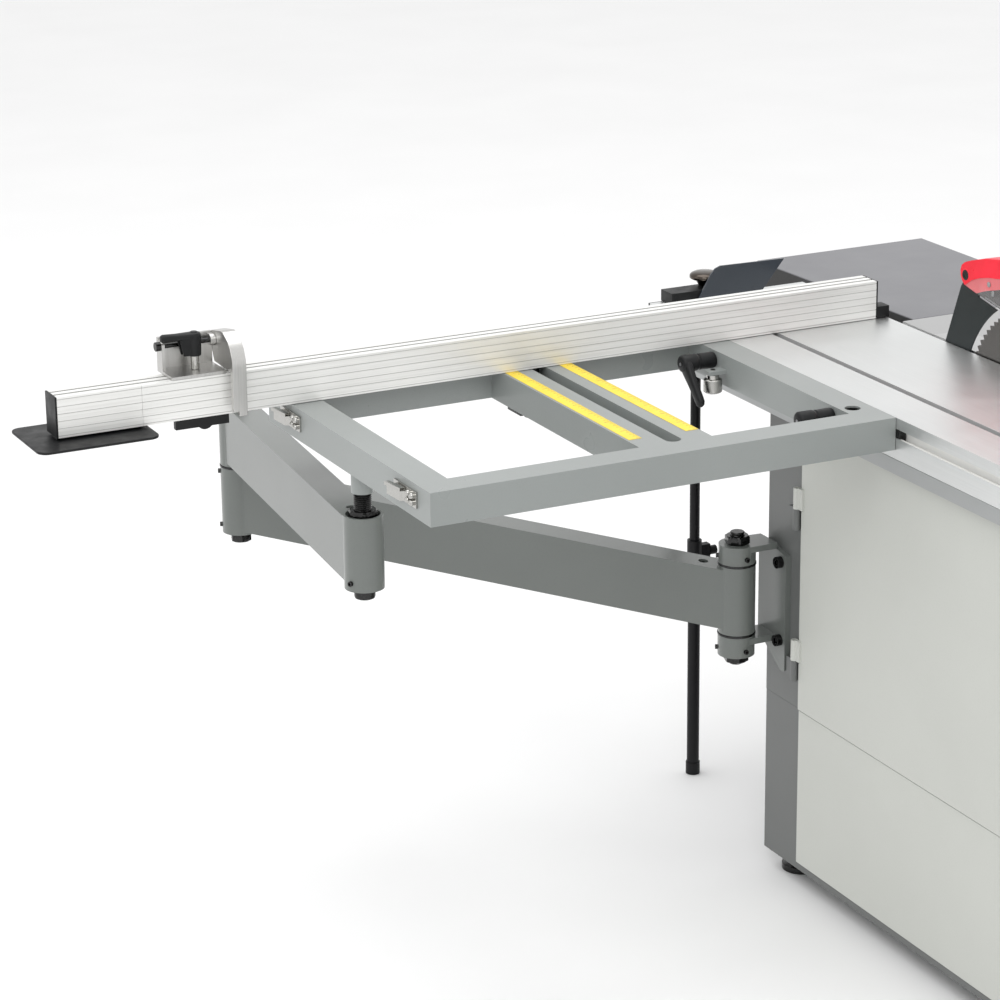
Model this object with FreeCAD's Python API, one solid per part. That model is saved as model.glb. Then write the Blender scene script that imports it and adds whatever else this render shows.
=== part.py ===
import FreeCAD
import Part
import math
import os
from FreeCAD import Vector

# Sliding-table panel saw, in millimetres.
# Origin: on the floor under the middle of the main blade. +X points from the sliding table to the
# main table, +Y is the cutting direction, away from the operator, +Z is up.

# --- driving dimensions --------------------------------------------------------------------------
TABLE_Z = 880.0             # height of the working surface
BLADE_R = 175.0
BLADE_THICK = 3.2
BLADE_DROP = 75.0           # arbor below the table with the blade fully up
ARBOR_R = 15.0
RUN_GAP = 0.05              # radial clearance of a shaft in its bore
FREE_GAP = 0.4              # clearance between pieces that pass each other

CABINET_X0 = -278.0
CABINET_X1 = 400.0
CABINET_Y0 = -400.0
CABINET_Y1 = 317.0
CABINET_TOP = 792.0
PLINTH_TOP = 310.0
FOOT_H = 30.0
SHEET = 3.0

SLIDE_X0 = -302.0           # left side of the sliding table
SLIDE_X1 = -5.0             # right side, next to the blade
SLIDE_Y0 = -929.0
SLIDE_Y1 = 671.0
SLIDE_BOTTOM = 816.0
BOX_X1 = -110.0             # right side of the deep part of the sliding table

RAIL_Y0 = -720.0
RAIL_Y1 = 730.0
RAIL_TOP = SLIDE_BOTTOM - FREE_GAP

FRAME_TUBE = 50.0           # square tube of the crosscut frame
FRAME_WALL = 3.0
FRAME_X0 = -1061.0
FRAME_X1 = -302.5
FRAME_Y0 = -81.0
FRAME_Y1 = 499.0
MIDDLE_X0 = -706.0          # pair of middle tubes
MIDDLE_X1 = -586.0
TUBE_GAP = (-656.5, -631.5)  # open slot between the two middle tubes
SLOT_X = -644.0

PIVOT_X = -332.4            # swing pivot of the crosscut fence
PIVOT_Y = 427.0
PIVOT_R = 12.0
PIVOT_GAP = 0.08            # radial clearance of the swing pivot pin
SPARE_PIVOT_Y = -9.0

FENCE_Y0 = 406.0            # working face of the fence
FENCE_Y1 = 450.0
FENCE_Z0 = TABLE_Z + 1.0
FENCE_Z1 = 943.0
FENCE_X0 = -1298.0
FENCE_X1 = -27.0
EXTENSION_X0 = -1429.0
FENCE_WALL = 4.0

STOP_X0 = -1250.0           # flip stop
STOP_X1 = -1164.4
STOP_PIN_Y = 452.0
STOP_PIN_Z = 985.0
STOP_STUD = (-1202.0, 436.0)

ARM_BASE = (-345.0, 302.0)  # vertical pivots of the swing arm
ARM_ELBOW = (-972.0, 862.0)
ARM_POST = (-1037.0, 206.0)
ARM_BASE_Z = 427.5          # underside of the inner arm's boss at the base
ARM_ELBOW_Z = 531.0         # underside of the inner arm's boss at the elbow
ARM_OUTER_Z = 649.0         # underside of the outer arm's bosses
BOSS_H = 114.0
BOSS_R = 30.0
BEAM_H = 100.0
BEAM_W = 50.0
BEAM_WALL = 4.0
BOLT_R = 12.0
POST_R = 13.5
RING_H = 3.7

BRACKET_SCREWS_Z = (547.0, 414.5)

LEG = (-194.0, 704.0)
LEG_TUBE_R = 8.75
LEG_SLEEVE_R = 10.75
LEG_SCREW_Z = 412.0
HINGE = (-286.0, 219.0)     # hinge line of the access door
DOOR_Y0 = -380.0
DOOR_Y1 = 211.0
WHEELS_X = (-60.0, 240.0)   # tilt wheel, rise wheel
WHEEL_Z = 590.0
WHEEL_SHAFT_R = 10.0
BUTTONS_X = (60.0, 110.0)   # stop, start
BUTTON_Z = 715.0
PORT = (60.0, 430.0)        # dust port on the rear wall

ROD_X = 40.0                # rise rods of the blade unit
ROD_Y = 100.0
ROD_R = 11.0
MOTOR_DROP = 285.0          # motor shaft below the table
MOTOR_R = 65.0
TRUNNIONS_Y = (-214.0, 262.0)
TRUNNION_T = 14.0
WHEEL_R = 80.0
GUARD_BOLT = (173.0, 1004.0)  # Y, Z of the bolt that hangs the guard on the riving knife


# --- shape helpers -------------------------------------------------------------------------------
def box(x0, x1, y0, y1, z0, z1):
    return Part.makeBox(x1 - x0, y1 - y0, z1 - z0, Vector(x0, y0, z0))


def rod(point, direction, length, radius):
    return Part.makeCylinder(radius, length, Vector(*point), Vector(*direction))


def upright(centre, z0, z1, radius):
    return rod((centre[0], centre[1], z0), (0, 0, 1), z1 - z0, radius)


def prism(points, vector):
    corners = [Vector(*p) for p in points]
    face = Part.Face(Part.makePolygon(corners + corners[:1]))
    return face.extrude(Vector(*vector))


def fuse(shapes):
    whole = shapes[0].multiFuse(shapes[1:]) if len(shapes) > 1 else shapes[0]
    return whole.removeSplitter()


def cut(shape, tools):
    for tool in tools:
        shape = shape.cut(tool)
    return shape


def hexagon(centre, z0, z1, across_flats):
    radius = across_flats / math.sqrt(3.0)
    turns = [math.radians(60 * i + 15) for i in range(6)]
    points = [(centre[0] + radius * math.cos(a), centre[1] + radius * math.sin(a), z0) for a in turns]
    return prism(points, (0, 0, z1 - z0))


def tube_box(x0, x1, y0, y1, z0, z1, wall, open_axis=None):
    inner = [x0 + wall, x1 - wall, y0 + wall, y1 - wall, z0 + wall, z1 - wall]
    if open_axis is not None:
        inner[2 * open_axis] -= 2 * wall
        inner[2 * open_axis + 1] += 2 * wall
    return box(x0, x1, y0, y1, z0, z1).cut(box(*inner))


def group(shapes):
    return Part.makeCompound(shapes)


nodes = {}


# --- cabinet and tables --------------------------------------------------------------------------
def make_cabinet():
    x0, x1, y0, y1 = CABINET_X0, CABINET_X1, CABINET_Y0, CABINET_Y1
    shell = tube_box(x0, x1, y0, y1, PLINTH_TOP, CABINET_TOP, SHEET)
    top_window = box(-125, 340, -300, 290, CABINET_TOP - 2 * SHEET, CABINET_TOP + 1)
    floor_window = box(x0 + 25, x1 - 25, y0 + 25, y1 - 25, PLINTH_TOP - 1, PLINTH_TOP + 2 * SHEET)
    door_window = box(x0 - 1, x0 + 2 * SHEET, -345, 200, PLINTH_TOP + 20, 768)
    port_hole = rod((PORT[0], y1 - 10, PORT[1]), (0, 1, 0), 20, 56)
    wheel_holes = [rod((x, y0 - 1, WHEEL_Z), (0, 1, 0), 10, WHEEL_SHAFT_R + RUN_GAP) for x in WHEELS_X]
    button_holes = [rod((x, y0 - 1, BUTTON_Z), (0, 1, 0), 10, 10 + RUN_GAP) for x in BUTTONS_X]
    shell = cut(shell, [top_window, floor_window, door_window, port_hole] + wheel_holes + button_holes)
    parts = [shell]
    for z0 in (614.0, 359.0):
        leaf = box(HINGE[0], x0, HINGE[1] - 2, HINGE[1] + 24, z0, z0 + 34)
        knuckle = upright(HINGE, z0, z0 + 34, 6)
        pin = upright(HINGE, z0 + 34, z0 + 66, 3)
        parts += [leaf, knuckle, pin]
    nodes["cabinet_shell"] = fuse(parts)

    plinth = tube_box(x0, x1, y0, y1, FOOT_H, PLINTH_TOP, SHEET)
    top_window = box(x0 + 25, x1 - 25, y0 + 25, y1 - 25, PLINTH_TOP - 2 * SHEET, PLINTH_TOP + 1)
    nodes["cabinet_plinth"] = plinth.cut(top_window)
    nodes["plinth_cover"] = box(x0 - 3, x0, DOOR_Y0, DOOR_Y1, 44, PLINTH_TOP - 1)

    feet = []
    for x in (x0 + 45, x1 - 45):
        for y in (y0 + 45, y1 - 45):
            pad = upright((x, y), 0, 10, 32)
            feet.append(fuse([pad, upright((x, y), 10, FOOT_H, 10), hexagon((x, y), 18, 26, 30)]))
    nodes["levelling_feet"] = group(feet)


def make_door():
    x0 = CABINET_X0
    low = PLINTH_TOP + 1
    high = 785.0
    panel = box(x0 - 5, x0 - 3, DOOR_Y0, DOOR_Y1, low, high)
    rims = [box(x0 - 3, x0 - 0.5, DOOR_Y0, DOOR_Y0 + 2, low, high),
            box(x0 - 3, x0 - 0.5, DOOR_Y1 - 8, DOOR_Y1 - 6, low, high),
            box(x0 - 3, x0 - 0.5, DOOR_Y0 + 2, DOOR_Y1 - 8, low, low + 2),
            box(x0 - 3, x0 - 0.5, DOOR_Y0 + 2, DOOR_Y1 - 8, high - 2, high)]
    knuckles = []
    for z0 in (648.4, 393.4):
        strap = box(HINGE[0] - 1, x0 - 3, DOOR_Y1 - 8, HINGE[1], z0, z0 + 35)
        knuckles += [upright(HINGE, z0, z0 + 35, 6), strap]
    door = fuse([panel] + rims + knuckles)
    nodes["access_door"] = cut(door, [upright(HINGE, z0, z0 + 40, 3 + RUN_GAP) for z0 in (645, 390)])


def arc_piece(y0, y1, r0, r1, start, end):
    outer = rod((0, y0, TABLE_Z), (0, 1, 0), y1 - y0, r1)
    ring = outer.cut(rod((0, y0, TABLE_Z), (0, 1, 0), y1 - y0, r0))
    points = [(0, y0, TABLE_Z)]
    for step in range(5):
        angle = math.radians(start + (end - start) * step / 4)
        points.append((2 * r1 * math.cos(angle), y0, TABLE_Z - 2 * r1 * math.sin(angle)))
    return ring.common(prism(points, (0, y1 - y0, 0)))


def make_main_table():
    x0 = 3.0
    x1 = 460.0
    y0 = -427.0
    y1 = 373.0
    plate = box(x0, x1, y0, y1, TABLE_Z - 12, TABLE_Z)
    skirts = [box(x1 - 10, x1, y0, y1, TABLE_Z - 48, TABLE_Z - 12),
              box(x0, x1, y0, y0 + 10, TABLE_Z - 48, TABLE_Z - 12),
              box(x0, x1, y1 - 10, y1, TABLE_Z - 48, TABLE_Z - 12),
              box(300, 308, y0, y1, TABLE_Z - 48, TABLE_Z - 12)]
    pads = [box(x - 14, x + 14, pad_y[0], pad_y[1], CABINET_TOP, TABLE_Z - 12)
            for x in (170, 370) for pad_y in ((-370, -320), (292, 314))]
    brackets = []
    for y in TRUNNIONS_Y:
        blank = prism([(10, y, 868), (140, y, 868), (140, y, 760), (40, y, 742), (-40, y, 742),
                       (-40, y, 800), (10, y, 812)], (0, TRUNNION_T, 0))
        brackets.append(blank.cut(arc_piece(y, y + TRUNNION_T, 104, 116, 12, 104)))
    recess = box(x0 - 1, 62.4, -250.4, 279.4, TABLE_Z - 4, TABLE_Z + 1)
    table = fuse([plate] + skirts + pads + brackets)
    nodes["main_table"] = table.cut(recess)
    insert = box(x0, 62, -250, 279, TABLE_Z - 4, TABLE_Z)
    holes = [upright((50, y), TABLE_Z - 5, TABLE_Z + 1, 4) for y in (-230, 0, 259)]
    nodes["table_insert"] = cut(insert, holes)


def make_rear_table():
    y0 = 373.5
    y1 = 837.0
    depth = 70.0
    z0 = TABLE_Z - depth
    outline = [(25, y0, z0), (345, y0, z0), (345, y1, z0), (3, y1, z0)]
    inside = [(29, y0 + 4, z0 - 1), (341, y0 + 4, z0 - 1), (341, y1 - 4, z0 - 1), (7.5, y1 - 4, z0 - 1)]
    tray = prism(outline, (0, 0, depth)).cut(prism(inside, (0, 0, depth - 3)))
    ears = [box(x - 20, x + 20, 345, 377.5, 824, 832) for x in (80, 290)]
    risers = [box(x - 20, x + 20, 377.5, 381.5, 824, TABLE_Z - 4) for x in (80, 290)]
    nodes["rear_extension_table"] = fuse([tray] + ears + risers)


# --- fixed rail, leg and door-side bracket -------------------------------------------------------
def make_rail():
    base = box(SLIDE_X0, BOX_X1 - 2, RAIL_Y0, RAIL_Y1, CABINET_TOP, CABINET_TOP + 6)
    lip = box(SLIDE_X0, SLIDE_X0 + 5, RAIL_Y0, RAIL_Y1, CABINET_TOP + 6, RAIL_TOP)
    crest = box(-222, -202, RAIL_Y0, RAIL_Y1, CABINET_TOP + 6, 856)
    rail = fuse([base, lip, crest])
    grooves = [rod((x, RAIL_Y0 - 1, 838), (0, 1, 0), RAIL_Y1 - RAIL_Y0 + 2, 4) for x in (-223, -201)]
    nodes["fixed_rail"] = cut(rail, grooves)


def make_ball_cages():
    shapes = []
    for x in (-229.5, -194.5):
        strip = box(x - 2, x + 2, -290, 240, 826, 850)
        balls = [Part.makeSphere(6.5, Vector(x, -265 + 95 * i, 838)) for i in range(6)]
        shapes.append(fuse([strip] + balls))
    bridge = box(-231.5, -192.5, -290, -280, 858, 862)
    posts = [box(x - 2, x + 2, -290, -280, 850, 858) for x in (-229.5, -194.5)]
    nodes["ball_cage"] = fuse(shapes + [bridge] + posts)


def make_leg():
    x, y = LEG
    bore = LEG_TUBE_R + FREE_GAP
    plate = box(x - 40, x + 40, y - 24, y + 24, 784, CABINET_TOP)
    tube = upright(LEG, 330, 784, LEG_TUBE_R).cut(upright(LEG, 329, 784, LEG_TUBE_R - 1.6))
    nodes["leg_tube"] = fuse([plate, tube])
    sleeve = upright(LEG, 8, 436, LEG_SLEEVE_R)
    collar = upright(LEG, LEG_SCREW_Z - 10, 436, LEG_SLEEVE_R + 2)
    clamp_ear = box(x + 10, x + 28, y - 7, y + 7, LEG_SCREW_Z - 10, LEG_SCREW_Z + 14)
    foot = upright(LEG, 0, 22, 12.5)
    bores = [upright(LEG, 8, 440, bore), rod((x + 9, y, LEG_SCREW_Z), (1, 0, 0), 30, 4 + RUN_GAP)]
    nodes["leg_sleeve"] = cut(fuse([sleeve, collar, clamp_ear, foot]), bores)
    screw = rod((x + 11, y, LEG_SCREW_Z), (1, 0, 0), 24, 4)
    head = rod((x + 30, y, LEG_SCREW_Z), (1, 0, 0), 12, 8)
    nodes["leg_screw"] = fuse([screw, head])


def set_screws(centre, z, angles, inside=BOLT_R):
    screws = []
    for angle in angles:
        turn = math.radians(angle)
        way = (math.cos(turn), math.sin(turn), 0)
        start = (centre[0] + inside * way[0], centre[1] + inside * way[1], z)
        screws.append(rod(start, way, BOSS_R + 4 - inside, 4))
    return screws


def ear(z0, thick):
    x, y = ARM_BASE
    near = y - BOSS_R + 1
    far = y + BOSS_R - 1
    return prism([(x, near, z0), (-288, near, z0), (-288, 325, z0), (x, far, z0)], (0, 0, thick))


def make_arm_bracket():
    top = ARM_BASE_Z + BOSS_H + RING_H + FREE_GAP
    low = ARM_BASE_Z - RING_H - FREE_GAP
    wall = prism([(-288, 246, 366), (-288, 256, 362), (-288, 290, 384), (-288, 330, 411), (-288, 330, 558),
                  (-288, 314, 571), (-288, 246, 560)], (10, 0, 0))
    upper = fuse([upright(ARM_BASE, top, 576, BOSS_R), ear(566, 10)])
    lower = fuse([upright(ARM_BASE, 389, low, BOSS_R), ear(410, 10)])
    bracket = fuse([wall, upper, lower])
    bores = [upright(ARM_BASE, 380, 580, BOLT_R)] + [rod((-289, 261, z), (1, 0, 0), 12, 5) for z in BRACKET_SCREWS_Z]
    screws = set_screws(ARM_BASE, 556, (155, 271)) + set_screws(ARM_BASE, 400, (155, 271))
    nodes["arm_bracket"] = cut(bracket, bores + screws)
    heads = []
    for z in BRACKET_SCREWS_Z:
        head = rod((-298, 261, z), (1, 0, 0), 10, 9.5).cut(rod((-299, 261, z), (1, 0, 0), 6, 4.5))
        heads.append(fuse([head, rod((-288, 261, z), (1, 0, 0), 10, 5)]))
    nodes["bracket_screws"] = group(heads)
    bolt = fuse([upright(ARM_BASE, 372, 596, BOLT_R), hexagon(ARM_BASE, 576, 590, 36),
                 hexagon(ARM_BASE, 376, 389, 36)])
    rings = [upright(ARM_BASE, z, z + RING_H, BOSS_R + 1).cut(upright(ARM_BASE, z, z + RING_H, BOLT_R))
             for z in (low, top - RING_H)]
    nodes["base_pivot_bolt"] = group([bolt] + rings + screws)


# --- swing arm -----------------------------------------------------------------------------------
def beam(start, end, z_start, z_end):
    run = math.hypot(end[0] - start[0], end[1] - start[1])
    way = ((end[0] - start[0]) / run, (end[1] - start[1]) / run)
    side = (-way[1], way[0])

    def slab(first, last, z_low, z_high, width):
        points = []
        for along, z_side in ((first, z_low), (last, z_low), (last, z_high), (first, z_high)):
            z = z_start + (z_end - z_start) * along / run + z_side
            points.append((start[0] + way[0] * along - side[0] * width / 2,
                           start[1] + way[1] * along - side[1] * width / 2, z))
        return prism(points, (side[0] * width, side[1] * width, 0))

    outer = slab(8, run - 8, 0, BEAM_H, BEAM_W)
    inner = slab(34, run - 34, BEAM_WALL, BEAM_H - BEAM_WALL, BEAM_W - 2 * BEAM_WALL)
    hole = upright((start[0] + way[0] * 55, start[1] + way[1] * 55), z_start + BEAM_H - 10, z_start + BEAM_H + 20, 8)
    return cut(outer, [inner, hole])


def make_arms():
    margin = (BOSS_H - BEAM_H) / 2
    inner = fuse([upright(ARM_BASE, ARM_BASE_Z, ARM_BASE_Z + BOSS_H, BOSS_R),
                  upright(ARM_ELBOW, ARM_ELBOW_Z, ARM_ELBOW_Z + BOSS_H, BOSS_R),
                  beam(ARM_BASE, ARM_ELBOW, ARM_BASE_Z + margin, ARM_ELBOW_Z + margin)])
    screws = set_screws(ARM_ELBOW, 636, (158, 288)) + set_screws(ARM_ELBOW, 543, (158, 288))
    bores = [upright(ARM_BASE, 400, 600, BOLT_R + RUN_GAP), upright(ARM_ELBOW, 500, 700, BOLT_R)]
    nodes["inner_arm"] = cut(inner, bores + screws)
    bolt = fuse([upright(ARM_ELBOW, 513, 785, BOLT_R), hexagon(ARM_ELBOW, 765, 778, 36),
                 upright(ARM_ELBOW, 514, 528, 16)])
    washer = upright(ARM_ELBOW, 528, 531, 17).cut(upright(ARM_ELBOW, 528, 531, BOLT_R))
    ring = upright(ARM_ELBOW, 645, 645 + RING_H - 0.1, BOSS_R + 1)
    ring = ring.cut(upright(ARM_ELBOW, 645, 650, BOLT_R))
    nodes["elbow_bolt"] = group([bolt, washer, ring] + screws)

    outer = fuse([upright(ARM_ELBOW, ARM_OUTER_Z, ARM_OUTER_Z + BOSS_H, BOSS_R),
                  upright(ARM_POST, ARM_OUTER_Z, ARM_OUTER_Z + BOSS_H, BOSS_R),
                  beam(ARM_POST, ARM_ELBOW, ARM_OUTER_Z + margin, ARM_OUTER_Z + margin)])
    recess = upright(ARM_POST, ARM_OUTER_Z + BOSS_H - 9, ARM_OUTER_Z + BOSS_H + 1, 26)
    grub = set_screws(ARM_POST, 662, (205,), POST_R)
    nodes["outer_arm"] = cut(outer, [upright(ARM_ELBOW, 640, 770, BOLT_R + RUN_GAP),
                                     upright(ARM_POST, 640, 770, POST_R), recess] + grub)
    post = fuse([upright(ARM_POST, 640, 796, POST_R), hexagon(ARM_POST, 754, 770, 41),
                 upright(ARM_POST, 631, 649, 16)])
    nodes["support_post"] = group([post] + grub)


# --- sliding table and crosscut frame ------------------------------------------------------------
def make_sliding_table():
    length = SLIDE_Y1 - SLIDE_Y0

    def bar(x0, x1, z0, z1):
        return box(x0, x1, SLIDE_Y0, SLIDE_Y1, z0, z1)

    nose = prism([(BOX_X1, SLIDE_Y0, 866), (SLIDE_X1 - 14, SLIDE_Y0, 866), (SLIDE_X1, SLIDE_Y0, TABLE_Z),
                  (BOX_X1, SLIDE_Y0, TABLE_Z)], (0, length, 0))
    body = fuse([bar(SLIDE_X0, BOX_X1, 864, TABLE_Z), bar(SLIDE_X0, -286, SLIDE_BOTTOM, 864),
                 bar(-248, -238, 822, 864), bar(-186, -176, 822, 864),
                 bar(BOX_X1 - 6, BOX_X1, SLIDE_BOTTOM, 864), nose])
    side_slot = bar(SLIDE_X0 - 1, -297, 848.4, 862.6)
    side_pocket = bar(-297.5, -290, 844, 863)
    top_slot = bar(-223.5, -211.5, 872, TABLE_Z + 1)
    top_pocket = bar(-228, -207, 867, 872.5)
    nodes["sliding_table"] = cut(body, [side_slot, side_pocket, top_slot, top_pocket])
    caps = []
    for y in (SLIDE_Y0 - 5, SLIDE_Y1):
        plate = box(SLIDE_X0, BOX_X1, y, y + 5, SLIDE_BOTTOM, TABLE_Z - 0.5)
        window = box(-250, -174, y - 1, y + 6, SLIDE_BOTTOM - 1, 862)
        lip_window = box(SLIDE_X0 + 20, BOX_X1 - 8, y - 1, y + 6, SLIDE_BOTTOM - 1, 820)
        caps.append(cut(plate, [window, lip_window]))
    nodes["slide_end_caps"] = group(caps)


def make_crosscut_frame():
    z0 = TABLE_Z - FRAME_TUBE
    t = FRAME_TUBE
    bars = [(FRAME_X0, FRAME_X1, FRAME_Y0, FRAME_Y0 + t),
            (FRAME_X0, FRAME_X1, FRAME_Y1 - t, FRAME_Y1),
            (FRAME_X0, FRAME_X0 + t, FRAME_Y0 + t, FRAME_Y1 - t),
            (FRAME_X1 - t, FRAME_X1, FRAME_Y0 + t, FRAME_Y1 - t),
            (MIDDLE_X0, TUBE_GAP[0], FRAME_Y0 + t, FRAME_Y1 - t),
            (TUBE_GAP[1], MIDDLE_X1, FRAME_Y0 + t, FRAME_Y1 - t)]
    slot_radius = (TUBE_GAP[1] - TUBE_GAP[0]) / 2
    slot_end = (TUBE_GAP[0] + slot_radius, FRAME_Y0 + t + slot_radius)
    filler = box(TUBE_GAP[0], TUBE_GAP[1], FRAME_Y0 + t, slot_end[1], z0, TABLE_Z)
    filler = filler.cut(upright(slot_end, z0 - 1, TABLE_Z + 1, slot_radius))
    outer = fuse([box(*b, z0, TABLE_Z) for b in bars] + [filler])
    w = FRAME_WALL
    cores = [box(b[0] + w, b[1] - w, b[2] + w, b[3] - w, z0 + w, TABLE_Z - w) for b in bars]
    pivots = [upright((PIVOT_X, y), z0 - 1, TABLE_Z + 1, PIVOT_R + PIVOT_GAP) for y in (PIVOT_Y, SPARE_PIVOT_Y)]
    socket = upright(ARM_POST, 796.4, z0, 16.5)
    lug = box(-384, FRAME_X1 - t, 328, 348, 851, 857)
    frame = fuse([cut(outer, cores + pivots), socket, lug])
    stud_holes = [rod((-360, y, z), (1, 0, 0), 30, 5 + RUN_GAP) for y, z in ((370, 864), (17, 864))]
    knob_hole = upright((-372, 338), 849, 860, 4 + RUN_GAP)
    nodes["crosscut_frame"] = cut(frame, stud_holes + [knob_hole])
    strips = [box(x, x + 21, 7, 440, TABLE_Z, TABLE_Z + 0.5) for x in (-702, -608)]
    nodes["scale_strips"] = group(strips)
    blocks = []
    for y in (-92, 430):
        blocks.append(fuse([box(FRAME_X1, -297, y, y + 50, 849, 862), box(-297, -291, y, y + 50, 845, 862)]))
    nodes["frame_clamp_blocks"] = group(blocks)


def make_catches():
    shapes = []
    face = FRAME_X0
    for y in (372.0, -40.0):
        plate = box(face - 3, face, y, y + 74, 846, 870)
        housing = prism([(face - 3, y + 30, 849), (face - 12, y + 36, 849), (face - 14, y + 74, 849),
                         (face - 3, y + 74, 849)], (0, 0, 14))
        tongue = prism([(face - 12, y + 34, 863), (face - 18, y + 74, 863), (face - 18, y + 74, 868),
                        (face - 12, y + 34, 868)], (8, 0, 0))
        shapes.append(fuse([plate, housing, tongue]))
        for dy, z in ((8, 863), (9, 853), (20, 864), (21, 854)):
            neck = rod((face - 3, y + dy, z), (-1, 0, 0), 3, 4.5)
            dome = Part.makeSphere(4.5, Vector(face - 6, y + dy, z))
            half = dome.common(box(face - 20, face - 6, y - 20, y + 60, 830, 890))
            shapes.append(fuse([neck, half]))
    nodes["location_catches"] = group(shapes)


def clamp_lever(axis_y, axis_z, reach_y, reach_z):
    face = FRAME_X1 - FRAME_TUBE
    stud = rod((face - 3, axis_y, axis_z), (1, 0, 0), 20, 5)
    spacer = rod((face - 0.4 - 30, axis_y, axis_z), (1, 0, 0), 30, 13)
    head = rod((face - 60, axis_y, axis_z), (1, 0, 0), 30, 14)
    length = math.hypot(reach_y, reach_z)
    side = (-reach_z / length, reach_y / length)
    root = 14.0
    tip = 8.5
    points = []
    for along, width in ((0, root), (length, tip), (length, -tip), (0, -root)):
        points.append((face - 58, axis_y + reach_y * along / length + side[0] * width,
                       axis_z + reach_z * along / length + side[1] * width))
    arm = prism(points, (14, 0, 0))
    end = rod((face - 58, axis_y + reach_y, axis_z + reach_z), (1, 0, 0), 14, tip)
    return fuse([stud, spacer, head, arm, end])


def make_levers():
    nodes["far_clamp_lever"] = clamp_lever(370, 864, -48, -51)
    nodes["near_clamp_lever"] = clamp_lever(17, 864, 34, -61)
    knob = fuse([upright((-372, 338), 820, 844, 15), upright((-372, 338), 844, 850, 10),
                 upright((-372, 338), 850, 858.5, 4)])
    nodes["index_knob"] = knob


def make_edging_shoe():
    y0 = 638.0
    y1 = 676.0
    post = (-200.0, 665.0)
    foot = fuse([box(-278, -110, y0, y1, TABLE_Z + FREE_GAP, TABLE_Z + 20),
                 box(-222, -213, y0, y1 - 7, 874, TABLE_Z + FREE_GAP)])
    nodes["shoe_bar"] = foot.cut(upright(post, TABLE_Z + 4, 910, 5 + RUN_GAP))
    outline = [(-231, 883), (-206, 925), (-198, 934), (-188, 938), (-64, 936), (-108, 883)]
    plate = prism([(x, y0 - 3, z) for x, z in outline], (0, 3, 0))
    nodes["shoe_plate"] = plate
    z = TABLE_Z + 20 + FREE_GAP
    neck = Part.makeCone(11, 26, 12, Vector(post[0], post[1], z), Vector(0, 0, 1))
    dome = Part.makeCone(26, 19, 6, Vector(post[0], post[1], z + 18), Vector(0, 0, 1))
    nodes["shoe_knob"] = fuse([upright(post, TABLE_Z + 5, z, 5), neck, upright(post, z + 12, z + 18, 26), dome])


# --- fence, extension and flip stop --------------------------------------------------------------
def fence_section(x0, x1):
    wall = FENCE_WALL
    outer = box(x0, x1, FENCE_Y0, FENCE_Y1, FENCE_Z0, FENCE_Z1)
    inner = box(x0 - 1, x1 + 1, FENCE_Y0 + wall, FENCE_Y1 - wall, FENCE_Z0 + wall + 4, FENCE_Z1 - 9)
    grooves = [box(x0 - 1, x1 + 1, FENCE_Y0 - 1, FENCE_Y0 + 0.8, FENCE_Z0 + z, FENCE_Z0 + z + 0.8)
               for z in range(3, 60, 11)]
    slots = [box(x0 - 1, x1 + 1, y, y + 5, FENCE_Z1 - 4, FENCE_Z1 + 1) for y in (FENCE_Y0 + 12, FENCE_Y0 + 28)]
    return cut(outer, [inner] + grooves + slots)


def make_fence():
    profile = fence_section(FENCE_X0, FENCE_X1)
    nodes["fence_profile"] = profile.cut(upright((PIVOT_X, PIVOT_Y), FENCE_Z0 - 1, FENCE_Z0 + 9, PIVOT_R))
    cap = box(FENCE_X1, FENCE_X1 + 3, FENCE_Y0, FENCE_Y1, FENCE_Z0, FENCE_Z1)
    nose = box(FENCE_X1 + 3, -BLADE_THICK / 2 - FREE_GAP, FENCE_Y0 - 1, FENCE_Y0 + 24, FENCE_Z0, FENCE_Z0 + 19)
    nodes["fence_nose"] = fuse([cap, nose])
    pin = fuse([upright((PIVOT_X, PIVOT_Y), TABLE_Z - 44, FENCE_Z0 + 8, PIVOT_R)])
    nodes["fence_pivot_pin"] = pin
    clamp = fuse([box(-1247, -1162, FENCE_Y0 + 1, FENCE_Y0 + 11, 866, FENCE_Z0),
                  rod((-1200, FENCE_Y0 + 1, 875), (0, 1, 0), 10, 13.5)])
    clamp = clamp.cut(box(-1250, -1150, FENCE_Y0, FENCE_Y0 + 20, FENCE_Z0, FENCE_Z0 + 20))
    nodes["extension_clamp"] = clamp

    bar_x1 = FENCE_X0 + 620
    section = fence_section(EXTENSION_X0, FENCE_X0 - FREE_GAP)
    gap = FENCE_WALL + 0.8
    bar = tube_box(EXTENSION_X0, bar_x1, FENCE_Y0 + gap, FENCE_Y1 - gap, FENCE_Z0 + gap + 4,
                   FENCE_Z1 - 9.8, 3, 0)
    nodes["fence_extension"] = section
    nodes["extension_bar"] = bar
    nodes["extension_cap"] = box(EXTENSION_X0 - 3, EXTENSION_X0, FENCE_Y0, FENCE_Y1, FENCE_Z0, FENCE_Z1)
    x0, x1, y0, y1 = -1474.0, -1287.0, 359.0, 500.0
    z = FENCE_Z0 - 8
    radius = 16.0
    plate = fuse([box(x0 + radius, x1 - radius, y0, y1, z, z + 4), box(x0, x1, y0 + radius, y1 - radius, z, z + 4)]
                 + [upright((x, y), z, z + 4, radius) for x in (x0 + radius, x1 - radius)
                    for y in (y0 + radius, y1 - radius)])
    spacer = box(EXTENSION_X0, FENCE_X0 - FREE_GAP, FENCE_Y0 + 9, FENCE_Y1 - 9, z + 4, FENCE_Z0)
    nodes["end_support_plate"] = fuse([plate, spacer])


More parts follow.
